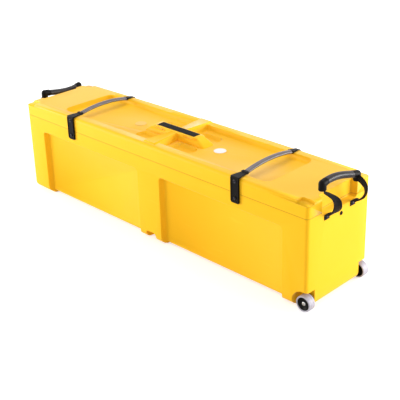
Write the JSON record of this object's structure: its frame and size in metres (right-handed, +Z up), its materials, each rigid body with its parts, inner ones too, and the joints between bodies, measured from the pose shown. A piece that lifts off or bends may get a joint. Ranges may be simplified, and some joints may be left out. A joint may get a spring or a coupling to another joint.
{
  "type": "drum hardware case",
  "caption": "Long moulded hardware case with a hinged lid, over-lid latch straps, webbing end handles, a moulded lid grip and corner wheels.",
  "frame": {"origin": "middle of the footprint, on the ground under the wheels and feet", "axes": "+X along the case towards its wheeled end, -Y towards the front with the latch tabs, +Z up"},
  "size_m": [1.51, 0.3222, 0.4386],
  "materials": {
    "yellow_shell": "soft satin moulded polyethylene",
    "black_plastic": "satin black",
    "black_rubber": "satin black moulded rubber",
    "black_webbing": "woven nylon webbing",
    "grey_sleeve": "glossy extruded sleeve",
    "steel": "zinc-plated",
    "tyre_grey": "matt grey tread",
    "label_black": "blank printed label stock",
    "badge_white": "blank white sticker"
  },
  "bodies": {
    "case": {"tub_shell": "yellow_shell", "vent_plug": "black_plastic", "latch_stud_left": "steel", "hinge_left_lower_tab": "black_rubber", "hinge_left_lower_rivet_a": "steel", "hinge_left_lower_rivet_b": "steel", "handle_left_front_foot": "black_webbing", "handle_left_front_rivet": "steel", "handle_left_rear_foot": "black_webbing", "handle_left_rear_rivet": "steel", "latch_stud_right": "steel", "hinge_right_lower_tab": "black_rubber", "hinge_right_lower_rivet_a": "steel", "hinge_right_lower_rivet_b": "steel", "handle_right_front_foot": "black_webbing", "handle_right_front_rivet": "steel", "handle_right_rear_foot": "black_webbing", "handle_right_rear_rivet": "steel", "wheel_front_axle_bolt": "steel", "wheel_front_spacer": "black_plastic", "wheel_front_axle_nut": "steel", "wheel_rear_axle_bolt": "steel", "wheel_rear_spacer": "black_plastic", "wheel_rear_axle_nut": "steel"},
    "lid": {"lid_shell": "yellow_shell", "lid_label_plate": "label_black", "lid_badge_left": "badge_white", "lid_badge_right": "badge_white", "hinge_left_upper_tab": "black_rubber", "hinge_left_upper_rivet_a": "steel", "hinge_left_upper_rivet_b": "steel", "hinge_right_upper_tab": "black_rubber", "hinge_right_upper_rivet_a": "steel", "hinge_right_upper_rivet_b": "steel"},
    "strap_left": {"strap_left_front_tab": "black_rubber", "strap_left_sleeve": "grey_sleeve", "strap_left_webbing": "black_webbing", "strap_left_rear_end": "black_rubber", "strap_left_eyelet": "steel"},
    "handle_left": {"handle_left_grip": "grey_sleeve", "handle_left_front_webbing": "black_webbing", "handle_left_front_collar": "black_rubber", "handle_left_rear_webbing": "black_webbing", "handle_left_rear_collar": "black_rubber"},
    "strap_right": {"strap_right_front_tab": "black_rubber", "strap_right_sleeve": "grey_sleeve", "strap_right_webbing": "black_webbing", "strap_right_rear_end": "black_rubber", "strap_right_eyelet": "steel"},
    "handle_right": {"handle_right_grip": "grey_sleeve", "handle_right_front_webbing": "black_webbing", "handle_right_front_collar": "black_rubber", "handle_right_rear_webbing": "black_webbing", "handle_right_rear_collar": "black_rubber"},
    "wheel_front": {"wheel_front_tyre": "tyre_grey", "wheel_front_hub": "black_plastic"},
    "wheel_rear": {"wheel_rear_tyre": "tyre_grey", "wheel_rear_hub": "black_plastic"}
  },
  "joints": [
    {"name": "lid_hinge", "type": "hinge", "parent": "case", "child": "lid", "pos_m": [0, 0.15925, 0.3165], "axis": [-1, 0, 0], "range_deg": [0, 105]},
    {"name": "strap_left_pivot", "type": "hinge", "parent": "lid", "child": "strap_left", "pos_m": [-0.412, 0.15765, 0.35507], "axis": [-1, 0, 0], "range_deg": [0, 100]},
    {"name": "strap_right_pivot", "type": "hinge", "parent": "lid", "child": "strap_right", "pos_m": [0.412, 0.15765, 0.35507], "axis": [-1, 0, 0], "range_deg": [0, 100]},
    {"name": "handle_left_pivot", "type": "hinge", "parent": "case", "child": "handle_left", "pos_m": [-0.713, 0.00165, 0.3085], "axis": [0, -1, 0], "range_deg": [0, 135]},
    {"name": "handle_right_pivot", "type": "hinge", "parent": "case", "child": "handle_right", "pos_m": [0.713, 0.00165, 0.3085], "axis": [0, 1, 0], "range_deg": [0, 135]},
    {"name": "wheel_front_spin", "type": "hinge", "parent": "case", "child": "wheel_front", "pos_m": [0.681, -0.13735, 0.027], "axis": [0, 1, 0], "continuous": true},
    {"name": "wheel_rear_spin", "type": "hinge", "parent": "case", "child": "wheel_rear", "pos_m": [0.681, 0.14065, 0.027], "axis": [0, 1, 0], "continuous": true}
  ]
}
